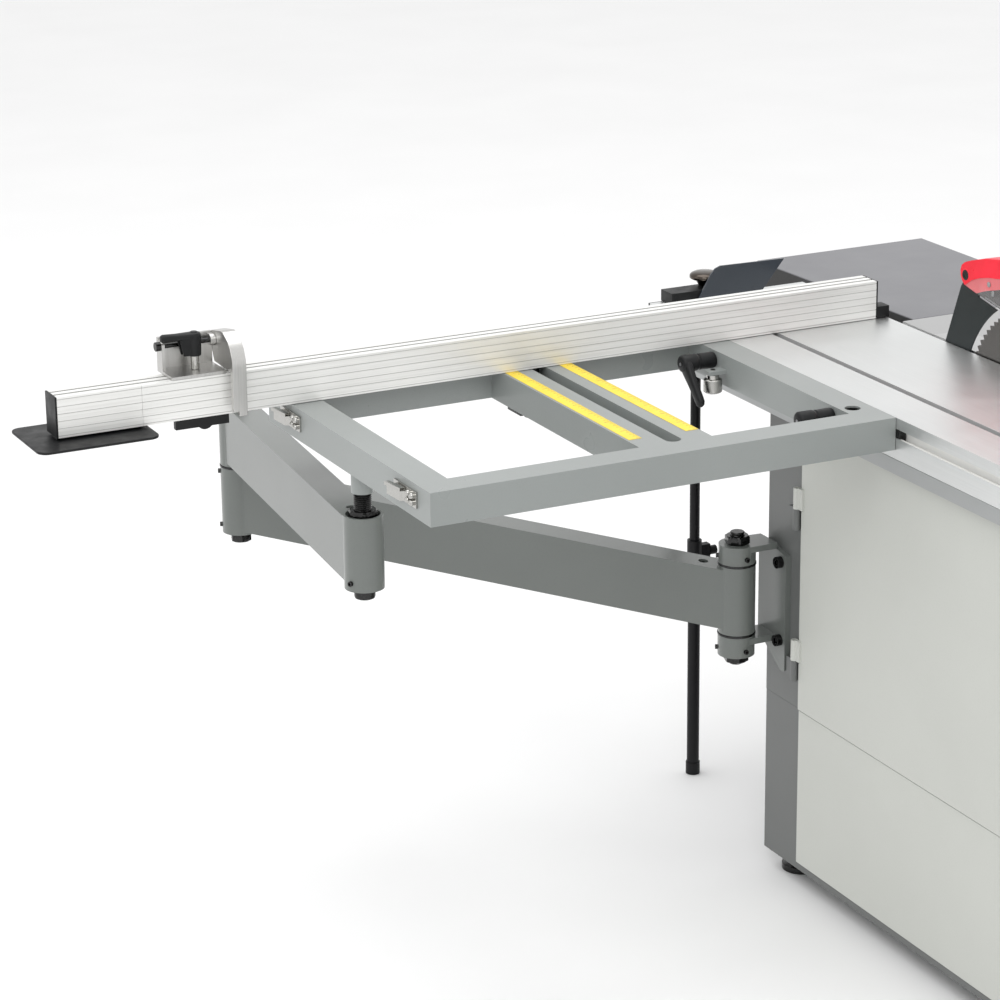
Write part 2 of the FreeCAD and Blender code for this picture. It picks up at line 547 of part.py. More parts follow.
def make_flip_stop():
    base = box(STOP_X0, STOP_X1, FENCE_Y0, 467, FENCE_Z1 + FREE_GAP, 948)
    back = box(STOP_X0, STOP_X1, 461, 467, 948, 996)
    cheek = fuse([box(STOP_X0, STOP_X0 + 5, 445, 461, 948, STOP_PIN_Z),
                  rod((STOP_X0, STOP_PIN_Y + 1, STOP_PIN_Z), (1, 0, 0), 5, 8)])
    boss = rod((STOP_X1 - 8, STOP_PIN_Y, STOP_PIN_Z), (1, 0, 0), 8, 9)
    web = box(STOP_X1 - 8, STOP_X1, STOP_PIN_Y, 461, STOP_PIN_Z - 9, STOP_PIN_Z + 9)
    keys = [box(STOP_X0 + 5, STOP_X1 - 5, y + 0.5, y + 4.5, 940, FENCE_Z1 + FREE_GAP)
            for y in (FENCE_Y0 + 12, FENCE_Y0 + 28)]
    body = fuse([base, back, cheek, boss, web] + keys)
    pin_hole = rod((STOP_X0 - 1, STOP_PIN_Y, STOP_PIN_Z), (1, 0, 0), 90, 4)
    nodes["stop_body"] = cut(body, [pin_hole, upright(STOP_STUD, 930, 950, 5 + RUN_GAP)])
    nodes["stop_pin"] = fuse([rod((STOP_X0 - 8, STOP_PIN_Y, STOP_PIN_Z), (1, 0, 0), 8, 7),
                              rod((STOP_X0, STOP_PIN_Y, STOP_PIN_Z), (1, 0, 0), 118, 4)])

    x0 = STOP_X1 + FREE_GAP
    profile = [(470, 984), (468, 992), (462, 997), (424, 1004), (416, 1003), (398, 993), (388, 982), (382, 968),
               (381, 955), (382, 881.5), (391, 881.5), (391, 949), (455, 950), (466, 972)]
    arm = prism([(x0, y, z) for y, z in profile], (22, 0, 0))
    notch = box(x0 - 1, x0 + 9, 380, 393, TABLE_Z, TABLE_Z + 9)
    nodes["stop_arm"] = cut(arm, [notch, rod((x0 - 5, STOP_PIN_Y, STOP_PIN_Z), (1, 0, 0), 40, 4 + RUN_GAP)])

    x, y = STOP_STUD
    stud = upright(STOP_STUD, 944, 948.4, 5)
    sleeve = upright(STOP_STUD, 948.4, 969, 6.5)
    hub = upright(STOP_STUD, 969, 1006, 10.5)
    arm = prism([(x, y - 10, 993), (x, y + 10, 993), (x - 47, y + 6, 994), (x - 47, y - 6, 994)], (0, 0, 13))
    fin = prism([(x, y - 3, 970), (x - 20, y - 3, 970), (x - 26, y - 3, 994), (x, y - 3, 994)], (0, 6, 0))
    end = upright((x - 47, y), 994, 1007, 6)
    nodes["stop_lever"] = fuse([stud, sleeve, hub, arm, fin, end])


def make_angle_clamp():
    plate = box(-685, -605, 391, 436, 812, TABLE_Z - FRAME_TUBE - FREE_GAP)
    bolt = upright((SLOT_X, PIVOT_Y - 2), 812, TABLE_Z + 0.4, 8)
    grip = fuse([upright((SLOT_X, PIVOT_Y - 2), 798, 812, 16)])
    nodes["angle_clamp"] = fuse([plate, bolt, grip])


# --- blade unit ----------------------------------------------------------------------------------
def make_tilt_frame():
    yoke = box(ROD_X - 15, ROD_X + 15, TRUNNIONS_Y[0] + TRUNNION_T + 0.5, TRUNNIONS_Y[1] - 0.5, 841, 860)
    foot = box(ROD_X - 15, ROD_X + 15, -118, 118, 488, 508)
    rods = [upright((ROD_X, y), 508, 841, ROD_R) for y in (-ROD_Y, ROD_Y)]
    shoes = []
    near = TRUNNIONS_Y[0] + TRUNNION_T + 0.5
    far = TRUNNIONS_Y[1] - 0.5
    for y0, y1, plate_y in ((TRUNNIONS_Y[0], near, near), (far, far + TRUNNION_T + 0.5, far - 10)):
        shoes.append(arc_piece(y0, y1, 104 + FREE_GAP, 116 - FREE_GAP, 25, 50))
        shoes.append(box(ROD_X - 15, 104, plate_y, plate_y + 10, 785, 852))
    nodes["tilt_frame"] = fuse([yoke, foot] + rods + shoes)


def make_blade_carrier():
    z = TABLE_Z - BLADE_DROP
    block = box(20, 60, -126, 126, z - 25, z + 25)
    housing = rod((12, 0, z), (1, 0, 0), 50, 34)
    side_rails = [box(60, 88, y0, y0 + 18, z - 14, z + 14) for y0 in (-78, 60)]
    motor_z = TABLE_Z - MOTOR_DROP
    plate = box(88, 94, -80, 80, motor_z - 70, z + 14)
    holder = box(2, 22, 185, 215, z - 45, z - 5)
    reach = box(8, 28, 100, 200, z - 25, z - 5)
    carrier = fuse([block, housing, plate, holder, reach] + side_rails)
    bores = [upright((ROD_X, y), 700, 900, ROD_R + RUN_GAP) for y in (-ROD_Y, ROD_Y)]
    bores.append(rod((0, 0, z), (1, 0, 0), 120, ARBOR_R + RUN_GAP))
    bores.append(rod((60, 0, motor_z), (1, 0, 0), 60, 20))
    nodes["blade_carrier"] = cut(carrier, bores)

    knife_r = BLADE_R + 12
    arc = [(knife_r * math.cos(math.radians(a)), z + knife_r * math.sin(math.radians(a)))
           for a in range(57, -9, -5)]
    outline = [(202, 980)] + arc + [(205, z - 40), (238, z - 30), (241, TABLE_Z)]
    nodes["riving_knife"] = prism([(-1.2, y, zz) for y, zz in outline], (2.4, 0, 0))
    lug = box(1.2, 2, 187, 213, z - 40, z - 15)
    nodes["blade_carrier"] = nodes["blade_carrier"].fuse(lug).removeSplitter()

    body = rod((94, 0, motor_z), (1, 0, 0), 150, MOTOR_R)
    fan = rod((244, 0, motor_z), (1, 0, 0), 18, MOTOR_R - 4)
    terminal = box(130, 200, -30, 30, motor_z + MOTOR_R - 6, motor_z + MOTOR_R + 22)
    motor = fuse([body, fan, terminal])
    nodes["motor"] = motor.cut(rod((90, 0, motor_z), (1, 0, 0), 60, 9 + RUN_GAP))


def make_drive():
    z = TABLE_Z - BLADE_DROP
    motor_z = TABLE_Z - MOTOR_DROP
    small = 30.0
    large = 42.0
    arbor = fuse([rod((-14, 0, z), (1, 0, 0), 100, ARBOR_R), rod((1.6, 0, z), (1, 0, 0), 8, 30),
                  rod((66, 0, z), (1, 0, 0), 18, small)])
    nodes["arbor"] = arbor
    nut = fuse([rod((-6.6, 0, z), (1, 0, 0), 5, 30), rod((-14, 0, z), (1, 0, 0), 7.4, 20)])
    nodes["arbor_nut"] = nut.cut(rod((-20, 0, z), (1, 0, 0), 30, ARBOR_R))
    nodes["motor_pulley"] = fuse([rod((66, 0, motor_z), (1, 0, 0), 18, large),
                                  rod((66, 0, motor_z), (1, 0, 0), 80, 9)])

    def loop(r_top, r_low, x0, x1):
        lean = math.asin((r_low - r_top) / (z - motor_z))
        c = math.cos(lean)
        s = math.sin(lean)
        points = [(x0, r_top * c, z + r_top * s), (x0, r_low * c, motor_z + r_low * s),
                  (x0, -r_low * c, motor_z + r_low * s), (x0, -r_top * c, z + r_top * s)]
        return fuse([prism(points, (x1 - x0, 0, 0)), rod((x0, 0, z), (1, 0, 0), x1 - x0, r_top),
                     rod((x0, 0, motor_z), (1, 0, 0), x1 - x0, r_low)])

    belt = loop(small + 4.4, large + 4.4, 68, 82)
    nodes["drive_belt"] = belt.cut(loop(small + FREE_GAP, large + FREE_GAP, 60, 90))


def make_blade():
    z = TABLE_Z - BLADE_DROP
    teeth = 84
    points = []
    for i in range(teeth):
        for share, radius in ((0.0, BLADE_R), (0.42, BLADE_R - 3.5), (0.5, BLADE_R - 8), (0.72, BLADE_R - 7)):
            angle = 2 * math.pi * (i + share) / teeth
            points.append((-BLADE_THICK / 2, radius * math.cos(angle), z + radius * math.sin(angle)))
    disc = prism(points, (BLADE_THICK, 0, 0))
    nodes["main_blade"] = disc.cut(rod((-5, 0, z), (1, 0, 0), 10, ARBOR_R))


def make_guard():
    half = 14.0
    wall = 3.5
    outline = [(174.5, 987.7), (182, 994), (186, 1002), (187, 1010), (184, 1018), (176, 1024), (157, 1031),
               (122, 1041), (82, 1048), (40, 1052), (-10, 1053), (-60, 1051), (-110, 1045), (-150, 1034),
               (-176, 1020), (-188, 1004), (-192, 985), (-192, 928)]
    inside = [(170, 985), (178, 996), (183, 1003), (183.5, 1010), (181, 1016), (174.5, 1020.5), (156, 1027.5),
              (121, 1037.5), (81.5, 1044.5), (40, 1048.5), (-10, 1049.5), (-60, 1047.5), (-109, 1041.5),
              (-148, 1031), (-173, 1018), (-184.5, 1003), (-188.5, 985), (-188.5, 920), (170, 979)]

    def slab(points, x0, x1):
        return prism([(x0, y, z) for y, z in points], (x1 - x0, 0, 0))

    shell = slab(outline, -half, half).cut(slab(inside, wall - half, half - wall))
    spacers = [rod((x, GUARD_BOLT[0], GUARD_BOLT[1]), (1, 0, 0), half - 1.7, 7) for x in (-half, 1.7)]
    knife_slot = box(-1.2, 1.2, 100, 200, 930, 1015)
    bolt_hole = rod((-half - 1, GUARD_BOLT[0], GUARD_BOLT[1]), (1, 0, 0), 2 * half + 2, 4)
    nodes["blade_guard"] = cut(fuse([shell] + spacers), [knife_slot, bolt_hole])
    tail = prism([(-1.2, 201, 980.7), (-1.2, 186, 1000), (-1.2, 182, 1012), (-1.2, 164, 1013), (-1.2, 150, 960)],
                 (2.4, 0, 0))
    knife = nodes["riving_knife"].fuse(tail).removeSplitter()
    nodes["riving_knife"] = knife.cut(rod((-5, GUARD_BOLT[0], GUARD_BOLT[1]), (1, 0, 0), 10, 4))


# --- controls ------------------------------------------------------------------------------------
def handwheel(x, z):
    y = CABINET_Y0
    shaft = rod((x, y - 40, z), (0, 1, 0), 110, WHEEL_SHAFT_R)
    rim = Part.makeTorus(WHEEL_R, 9, Vector(x, y - 38, z), Vector(0, 1, 0))
    spokes = []
    for i in range(3):
        turn = math.radians(90 + 120 * i)
        spokes.append(rod((x, y - 38, z), (math.cos(turn), 0, math.sin(turn)), WHEEL_R, 6))
    hub = rod((x, y - 48, z), (0, 1, 0), 24, 20)
    handle = rod((x, y - 90, z + WHEEL_R), (0, 1, 0), 52, 10)
    return fuse([shaft, rim, hub, handle] + spokes)


def make_controls():
    y0 = CABINET_Y0
    nodes["tilt_handwheel"] = handwheel(WHEELS_X[0], WHEEL_Z)
    nodes["rise_handwheel"] = handwheel(WHEELS_X[1], WHEEL_Z)
    for name, x in (("stop_button", BUTTONS_X[0]), ("start_button", BUTTONS_X[1])):
        stem = rod((x, y0 - 10, BUTTON_Z), (0, 1, 0), 20, 10)
        head = rod((x, y0 - 14, BUTTON_Z), (0, 1, 0), 7, 15)
        nodes[name] = fuse([stem, head])
    start = (PORT[0], CABINET_Y1, PORT[1])
    port = rod(start, (0, 1, 0), 60, 60).cut(rod(start, (0, 1, 0), 60, 57))
    flange = rod(start, (0, 1, 0), 4, 78).cut(rod(start, (0, 1, 0), 4, 57))
    nodes["dust_port"] = fuse([port, flange])


for make in (make_cabinet, make_door, make_main_table, make_rear_table, make_rail, make_ball_cages, make_leg,
             make_arm_bracket, make_arms, make_sliding_table, make_crosscut_frame, make_catches, make_levers,
             make_edging_shoe, make_fence, make_flip_stop, make_angle_clamp, make_tilt_frame,
             make_blade_carrier, make_drive, make_blade, make_guard, make_controls):
    make()

os.makedirs("parts", exist_ok=True)
for name, shape in nodes.items():
    if not shape.isValid():
        print("not valid:", name)
    print(f"{name:22s} solids {len(shape.Solids)} volume {shape.Volume / 1000:.1f} cm3")
    shape.exportStep(f"parts/{name}.step")
print(len(nodes), "nodes")
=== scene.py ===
import bmesh
import bpy
import math
from mathutils import Matrix, Vector


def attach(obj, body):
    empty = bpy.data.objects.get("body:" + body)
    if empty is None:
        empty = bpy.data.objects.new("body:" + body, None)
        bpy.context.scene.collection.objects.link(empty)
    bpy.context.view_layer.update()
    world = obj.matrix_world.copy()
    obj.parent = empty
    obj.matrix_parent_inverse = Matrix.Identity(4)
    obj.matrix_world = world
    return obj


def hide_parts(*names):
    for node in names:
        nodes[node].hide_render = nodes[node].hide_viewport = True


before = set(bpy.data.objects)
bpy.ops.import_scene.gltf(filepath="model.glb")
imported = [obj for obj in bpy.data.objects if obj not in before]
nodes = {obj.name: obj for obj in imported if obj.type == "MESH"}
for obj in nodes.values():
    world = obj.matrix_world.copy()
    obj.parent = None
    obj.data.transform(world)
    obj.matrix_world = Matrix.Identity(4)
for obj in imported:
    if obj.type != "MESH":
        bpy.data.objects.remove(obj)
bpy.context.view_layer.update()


# --- shader helpers ------------------------------------------------------------------------------
class Shader:
    """A Principled material with short calls for the nodes that feed it."""

    def __init__(self, name, metallic=0.0, specular=0.5, coat=0.0, coat_rough=0.28):
        self.mat = bpy.data.materials.new(name)
        self.mat.use_nodes = True
        self.tree = self.mat.node_tree
        self.bsdf = self.tree.nodes["Principled BSDF"]
        self.set("Metallic", metallic)
        self.set("Specular IOR Level", specular)
        self.set("Coat Weight", coat)
        self.set("Coat Roughness", coat_rough)
        self.coords = self.add("ShaderNodeTexCoord").outputs["Object"]

    def add(self, kind, **inputs):
        node = self.tree.nodes.new(kind)
        for key, value in inputs.items():
            setattr(node, key, value)
        return node

    def link(self, output, socket):
        self.tree.links.new(output, socket)

    def set(self, name, value):
        self.bsdf.inputs[name].default_value = value

    def feed(self, name, output):
        self.link(output, self.bsdf.inputs[name])

    def scaled(self, scale):
        node = self.add("ShaderNodeMapping")
        self.link(self.coords, node.inputs["Vector"])
        node.inputs["Scale"].default_value = scale
        return node.outputs["Vector"]

    def noise(self, scale, detail=4.0, rough=0.55, stretch=None):
        node = self.add("ShaderNodeTexNoise")
        node.inputs["Scale"].default_value = scale
        node.inputs["Detail"].default_value = detail
        node.inputs["Roughness"].default_value = rough
        self.link(self.scaled(stretch) if stretch else self.coords, node.inputs["Vector"])
        return node.outputs["Fac"]

    def ramp(self, value, stops):
        node = self.add("ShaderNodeValToRGB")
        self.link(value, node.inputs["Fac"])
        elements = node.color_ramp.elements
        while len(elements) < len(stops):
            elements.new(0.5)
        for element, (place, colour) in zip(elements, stops):
            element.position = place
            element.color = (*colour, 1.0)
        return node.outputs["Color"]

    def grey_ramp(self, value, low, high, start=0.3, end=0.7):
        return self.ramp(value, [(start, (low, low, low)), (end, (high, high, high))])

    def mix(self, factor, a, b):
        node = self.add("ShaderNodeMix", data_type="RGBA")
        for socket, value in ((node.inputs["Factor"], factor), (node.inputs[6], a), (node.inputs[7], b)):
            if hasattr(value, "is_linked"):
                self.link(value, socket)
            elif isinstance(value, (tuple, list)):
                socket.default_value = (*value, 1.0)
            else:
                socket.default_value = value
        return node.outputs[2]

    def math(self, operation, *values):
        node = self.add("ShaderNodeMath", operation=operation)
        for socket, value in zip(node.inputs, values):
            if hasattr(value, "is_linked"):
                self.link(value, socket)
            else:
                socket.default_value = value
        return node.outputs[0]

    def axes(self):
        node = self.add("ShaderNodeSeparateXYZ")
        self.link(self.coords, node.inputs[0])
        return tuple(node.outputs)

    def between(self, value, low, high):
        """1 where the value lies inside low..high, else 0."""
        above = self.math("GREATER_THAN", value, low)
        return self.math("MULTIPLY", above, self.math("LESS_THAN", value, high))

    def tone(self):
        """The output that feeds the base colour so far."""
        return self.bsdf.inputs["Base Color"].links[0].from_socket

    def bump(self, height, distance, strength=1.0, after=None):
        node = self.add("ShaderNodeBump")
        node.inputs["Strength"].default_value = strength
        node.inputs["Distance"].default_value = distance
        self.link(height, node.inputs["Height"])
        if after is not None:
            self.link(after, node.inputs["Normal"])
        self.feed("Normal", node.outputs["Normal"])
        return node.outputs["Normal"]


def tint(colour, factor):
    return tuple(min(1.0, c * factor) for c in colour)


def painted(name, colour, rough=0.42, peel=0.00004, spread=0.04, coat=0.0, dust=0.0, specular=0.5):
    """Powder-coated or sprayed metal: slight orange peel, blotches, rubbed patches."""
    s = Shader(name, specular=specular, coat=coat)
    large = s.noise(3.5, 3)
    tone = s.ramp(large, [(0.3, tint(colour, 1 - spread)), (0.7, tint(colour, 1 + spread))])
    speck = s.noise(420, 2)
    tone = s.mix(s.grey_ramp(speck, 0.0, 0.25, 0.55, 0.75), tone, tint(colour, 0.8))
    rub = s.noise(9, 6, 0.7, (1, 1, 0.35))
    tone = s.mix(s.grey_ramp(rub, 0.0, 0.06, 0.6, 0.85), tone, tint(colour, 1.15))
    if dust:
        tone = s.mix(s.grey_ramp(s.noise(26, 5, 0.65), 0.0, dust, 0.5, 0.8), tone, (0.72, 0.66, 0.56))
    s.feed("Base Color", tone)
    s.feed("Roughness", s.grey_ramp(s.noise(8, 3), rough - 0.03, rough + 0.04, 0.3, 0.7))
    first = s.bump(s.noise(650, 2), peel, 0.8)
    s.bump(s.noise(4, 2), 0.0002, 0.2, first)
    return s


def metal(name, colour, rough=0.3, streak=None, depth=0.00002, spread=0.05, metallic=1.0):
    """Bare or anodised metal; streak stretches its marks along the working direction."""
    s = Shader(name, metallic=metallic)
    grain = s.noise(1.0, 6, 0.7, streak or (600, 600, 600))
    tone = s.ramp(grain, [(0.3, tint(colour, 1 - spread)), (0.7, tint(colour, 1 + spread))])
    patches = s.noise(6, 4)
    tone = s.mix(s.grey_ramp(patches, 0.0, 0.3, 0.5, 0.75), tone, tint(colour, 0.9))
    s.feed("Base Color", tone)
    value = s.math("MULTIPLY_ADD", s.grey_ramp(grain, 0.0, 1.0), 0.12, rough - 0.06)
    value = s.math("MULTIPLY_ADD", s.grey_ramp(s.noise(11, 5), 0.0, 1.0), 0.07, value)
    s.feed("Roughness", value)
    s.bump(grain, depth, 0.6)
    return s


def plastic(name, colour, rough=0.45, grain=0.00004, specular=0.45):
    s = Shader(name, specular=specular)
    tone = s.ramp(s.noise(18, 4), [(0.3, tint(colour, 0.85)), (0.7, tint(colour, 1.2))])
    worn = s.noise(60, 6, 0.7)
    tone = s.mix(s.grey_ramp(worn, 0.0, 0.35, 0.62, 0.78), tone, tuple(c + 0.05 for c in colour))
    s.feed("Base Color", tone)
    s.feed("Roughness", s.grey_ramp(s.noise(40, 5), rough - 0.08, rough + 0.12, 0.3, 0.7))
    s.bump(s.noise(900, 2), grain, 0.8)
    return s


def coat(node_names, shader):
    for name in node_names.split():
        mesh = nodes[name].data
        mesh.materials.clear()
        mesh.materials.append(shader.mat)


# --- materials -----------------------------------------------------------------------------------
# scales of the noise, per metre: marks are long on the working direction and fine across it
ALONG_X = (6, 900, 900)
ALONG_Y = (900, 6, 900)
ALONG_Z = (900, 900, 6)
GROUND_BLADE = (80, 700, 700)
SLIDE_COLOUR = (0.72, 0.73, 0.725)
SLIDE_ROUGH = 0.38

frame_paint = painted("frame_grey_paint", (0.255, 0.273, 0.266), 0.3, coat=0.15)
arm_paint = painted("arm_grey_paint", (0.138, 0.15, 0.141), 0.22, coat=0.3)
cabinet_paint = painted("cabinet_grey_paint", (0.128, 0.133, 0.13), 0.36)
door_paint = painted("door_white_paint", (0.53, 0.54, 0.505), 0.5, 0.00005, 0.02)
black_paint = painted("black_paint", (0.008, 0.008, 0.009), 0.42, specular=0.22)
motor_paint = painted("motor_paint", (0.06, 0.08, 0.1), 0.4, dust=0.3)
shoe_paint = painted("shoe_blue_grey", (0.03, 0.038, 0.05), 0.2, 0.00002, coat=0.4)
knife_metal = painted("knife_dark", (0.009, 0.014, 0.015), 0.3, 0.00002, specular=0.3)
slide_top = metal("slide_anodised", SLIDE_COLOUR, SLIDE_ROUGH, ALONG_Y)
rail_metal = metal("rail_anodised", (0.42, 0.43, 0.43), 0.4, ALONG_Y)
table_metal = metal("table_ground", (0.5, 0.5, 0.5), 0.34, ALONG_Y)
insert_metal = metal("insert_satin", (0.56, 0.56, 0.56), 0.36, ALONG_Y)
stop_metal = metal("stop_satin", (0.58, 0.575, 0.56), 0.3, ALONG_Z, spread=0.1)
steel = metal("machined_steel", (0.42, 0.42, 0.43), 0.28, ALONG_Z)
blade_metal = metal("blade_ground", (0.15, 0.143, 0.137), 0.3, GROUND_BLADE, spread=0.12)
black_steel = metal("black_oxide", (0.045, 0.045, 0.045), 0.16, None, spread=0.4, metallic=1.0)
nickel = metal("nickel_plate", (0.46, 0.455, 0.435), 0.1, None, 0.00001, spread=0.15)
bronze = metal("dark_chrome", (0.085, 0.072, 0.062), 0.1, None, 0.00001)
black_plastic = plastic("black_plastic", (0.008, 0.0085, 0.009), 0.42, specular=0.28)
grey_plastic = plastic("grey_plastic", (0.1, 0.1, 0.11))
rubber = plastic("belt_rubber", (0.015, 0.015, 0.015), 0.7)
guard_red = plastic("guard_red", (0.97, 0.022, 0.045), 0.34, specular=0.22)
green_plastic = plastic("green_plastic", (0.02, 0.3, 0.06), 0.3)
red_plastic = plastic("red_plastic", (0.5, 0.01, 0.01), 0.3)


def folded_table():
    """Grey top; the sides below it are coloured near black as painted shade."""
    top_starts = 0.8785
    s = painted("rear_table_paint", (0.16, 0.16, 0.172), 0.34, specular=0.4)
    tone = s.tone()
    x, y, z = s.axes()
    # painted shade: every face below the top is coloured near black
    side = s.math("LESS_THAN", z, top_starts)
    s.feed("Base Color", s.mix(side, tone, (0.012, 0.012, 0.012)))
    return s


def ruled_fence():
    """Anodised fence: painted shade as fine dark lines along the grooves on the working face, streaks along
    its length, painted shade in the top slot.
    """
    first_groove, groove_pitch, groove_share = 0.8835, 0.011, 0.11
    working_face, grooves_end = 0.4075, 0.9405
    slot_near, slot_far, rim = 0.408, 0.448, 0.9424
    s = metal("fence_anodised", (0.84, 0.84, 0.82), 0.32, ALONG_X, metallic=0.35, spread=0.03)
    tone = s.tone()
    x, y, z = s.axes()
    # painted shade: a band of each groove pitch on the working face is darkened towards dark grey below
    phase = s.math("FRACT", s.math("DIVIDE", s.math("SUBTRACT", z, first_groove), groove_pitch))
    line = s.math("LESS_THAN", phase, groove_share)
    face = s.math("LESS_THAN", y, working_face)
    below = s.math("LESS_THAN", z, grooves_end)
    line = s.math("MULTIPLY", s.math("MULTIPLY", line, face), below)
    streak = s.noise(1.0, 5, 0.65, (2.2, 60, 260))
    tone = s.mix(s.grey_ramp(streak, 0.0, 0.3, 0.45, 0.72), tone, (0.55, 0.54, 0.51))
    tone = s.mix(s.math("MULTIPLY", line, 0.34), tone, (0.2, 0.2, 0.19))
    # painted shade: the inside of the top slot is coloured dark grey
    slot_shade = s.math("MULTIPLY", s.between(y, slot_near, slot_far), s.math("LESS_THAN", z, rim))
    s.feed("Base Color", s.mix(s.math("MULTIPLY", slot_shade, 0.5), tone, (0.08, 0.08, 0.08)))
    return s


rear_paint = folded_table()
fence_metal = ruled_fence()


def scale_tape():
    """Yellow tape with ticks at 5, 10 and 50 mm along Y, on its right edge; both tapes share it."""
    first_tape, tape_pitch, tape_width = -0.702, 0.094, 0.021
    ticks = ((0.05, 0.012, 0.0013), (0.01, 0.008, 0.0011), (0.005, 0.005, 0.0008))  # pitch, reach, width
    s = Shader("yellow_scale_tape", specular=0.5)
    base = s.ramp(s.noise(25, 4), [(0.3, (0.86, 0.62, 0.03)), (0.7, (0.93, 0.69, 0.045))])
    x, y, z = s.axes()
    share = s.math("FRACT", s.math("DIVIDE", s.math("SUBTRACT", x, first_tape), tape_pitch))
    inward = s.math("SUBTRACT", tape_width, s.math("MULTIPLY", share, tape_pitch))
    ink = None
    for pitch, reach, width in ticks:
        place = s.math("ABSOLUTE", s.math("SUBTRACT", s.math("FRACT", s.math("DIVIDE", y, pitch)), 0.5))
        line = s.math("GREATER_THAN", place, 0.5 - width / 2 / pitch)
        mark = s.math("MULTIPLY", line, s.math("LESS_THAN", inward, reach))
        ink = mark if ink is None else s.math("MAXIMUM", ink, mark)
    s.feed("Base Color", s.mix(s.math("MULTIPLY", ink, 0.92), base, (0.02, 0.018, 0.015)))
    s.feed("Roughness", s.grey_ramp(s.noise(60, 3), 0.35, 0.5))
    s.bump(s.noise(300, 2), 0.00003, 0.5)
    return s


def clear_tint(name, colour, alpha):
    """Tinted see-through plate."""
    s = Shader(name, specular=0.5, coat=0.4)
    s.feed("Base Color", s.ramp(s.noise(12, 3), [(0.3, colour), (0.7, tint(colour, 1.15))]))
    s.feed("Roughness", s.grey_ramp(s.noise(35, 5), 0.12, 0.3))
    s.feed("Alpha", s.grey_ramp(s.noise(20, 4), alpha, alpha + 0.1))
    s.bump(s.noise(200, 2), 0.00003, 0.5)
    return s


def slotted_slide():
    """Anodised slide; its side groove is paler and dull inside as painted light, its top groove darker and
    dull as painted shade.
    """
    side_groove = ((-0.3018, -0.2885), (0.8438, 0.8632))
    top_groove = ((-0.2285, -0.2065), (0.866, 0.8794))
    s = metal("slide_anodised", SLIDE_COLOUR, SLIDE_ROUGH, ALONG_Y)
    tone = s.tone()
    x, y, z = s.axes()
    side, top = (s.math("MULTIPLY", s.between(x, *across), s.between(z, *height))
                 for across, height in (side_groove, top_groove))
    # painted light: the side groove's inside is coloured paler than the slide and made non-metallic
    tone = s.mix(side, tone, (0.8, 0.8, 0.78))
    # painted shade: the top groove's inside is coloured darker grey
    s.feed("Base Color", s.mix(top, tone, (0.42, 0.42, 0.42)))
    s.feed("Metallic", s.math("SUBTRACT", 1.0, s.math("MAXIMUM", side, top)))
    return s


coat("cabinet_shell cabinet_plinth", cabinet_paint)
coat("plinth_cover access_door", door_paint)
coat("levelling_feet bracket_screws base_pivot_bolt elbow_bolt support_post frame_clamp_blocks", black_steel)
coat("angle_clamp stop_pin arbor_nut", black_steel)
coat("main_table", table_metal)
coat("table_insert", insert_metal)
coat("rear_extension_table", rear_paint)
coat("fixed_rail", rail_metal)
coat("leg_tube leg_sleeve", black_paint)
coat("arm_bracket inner_arm outer_arm", arm_paint)
coat("dust_port", grey_plastic)
coat("leg_screw slide_end_caps far_clamp_lever near_clamp_lever shoe_bar fence_nose", black_plastic)
coat("extension_clamp extension_cap end_support_plate stop_lever", black_plastic)
coat("tilt_handwheel rise_handwheel", black_plastic)
coat("start_button", green_plastic)
coat("stop_button", red_plastic)
coat("sliding_table", slotted_slide())
coat("extension_bar", slide_top)
coat("crosscut_frame", frame_paint)
coat("scale_strips", scale_tape())
coat("location_catches index_knob", nickel)
coat("ball_cage fence_pivot_pin tilt_frame blade_carrier arbor motor_pulley", steel)
coat("shoe_plate", shoe_paint)
coat("shoe_knob", bronze)
coat("fence_profile fence_extension", fence_metal)
coat("stop_arm stop_body", stop_metal)
coat("motor", motor_paint)
coat("riving_knife", knife_metal)
coat("blade_guard", guard_red)
coat("drive_belt", rubber)
coat("main_blade", blade_metal)


SHARP = math.radians(35)    # edges sharper than this are rounded


def soften(name, width):
    """Rounds the CAD node's edges for the render; the node's own mesh stays as it is."""
    obj = nodes[name]
    obj.data.polygons.foreach_set("use_smooth", [True] * len(obj.data.polygons))
    weld = obj.modifiers.new("weld", "WELD")
    weld.merge_threshold = 0.00001
    flat = obj.modifiers.new("flat", "DECIMATE")
    flat.decimate_type = "DISSOLVE"
    flat.angle_limit = math.radians(1)
    edge = obj.modifiers.new("edge", "BEVEL")
    edge.width = width
    edge.segments = 2
    edge.limit_method = "ANGLE"
    edge.angle_limit = SHARP
    edge.use_clamp_overlap = True
    split = obj.modifiers.new("split", "EDGE_SPLIT")
    split.use_edge_sharp = False
    split.split_angle = math.radians(50)
    obj.modifiers.new("flatten", "WEIGHTED_NORMAL")


ROUNDING = {"crosscut_frame": 0.003, "inner_arm": 0.0022, "outer_arm": 0.0022, "arm_bracket": 0.0015,
            "cabinet_shell": 0.0012, "cabinet_plinth": 0.0012, "main_table": 0.0015,
            "rear_extension_table": 0.0015, "end_support_plate": 0.001, "stop_arm": 0.0012,
            "angle_clamp": 0.0015, "extension_clamp": 0.002, "sliding_table": 0.0004,
            "table_insert": 0.0003, "scale_strips": 0.0001, "main_blade": 0.0002,
            "riving_knife": 0.0003, "shoe_plate": 0.0004, "fence_nose": 0.0005}
USUAL_ROUNDING = 0.0006
CRISP = ("fence_profile", "fence_extension", "extension_bar")
for name in nodes:
    if name not in CRISP:
        soften(name, ROUNDING.get(name, USUAL_ROUNDING))


# --- detailed pieces -----------------------------------------------------------------------------
MM = 0.001
TIP = 0.02              # radius that stands for a point on the axis
BASE = (-345, 302)      # the arm's three upright axes
ELBOW = (-972, 862)
POST = (-1037, 206)
BOLT_R = 12
POST_R = 13.5
RING_R = 31             # black rings at the bosses
NUT_FLATS = 36


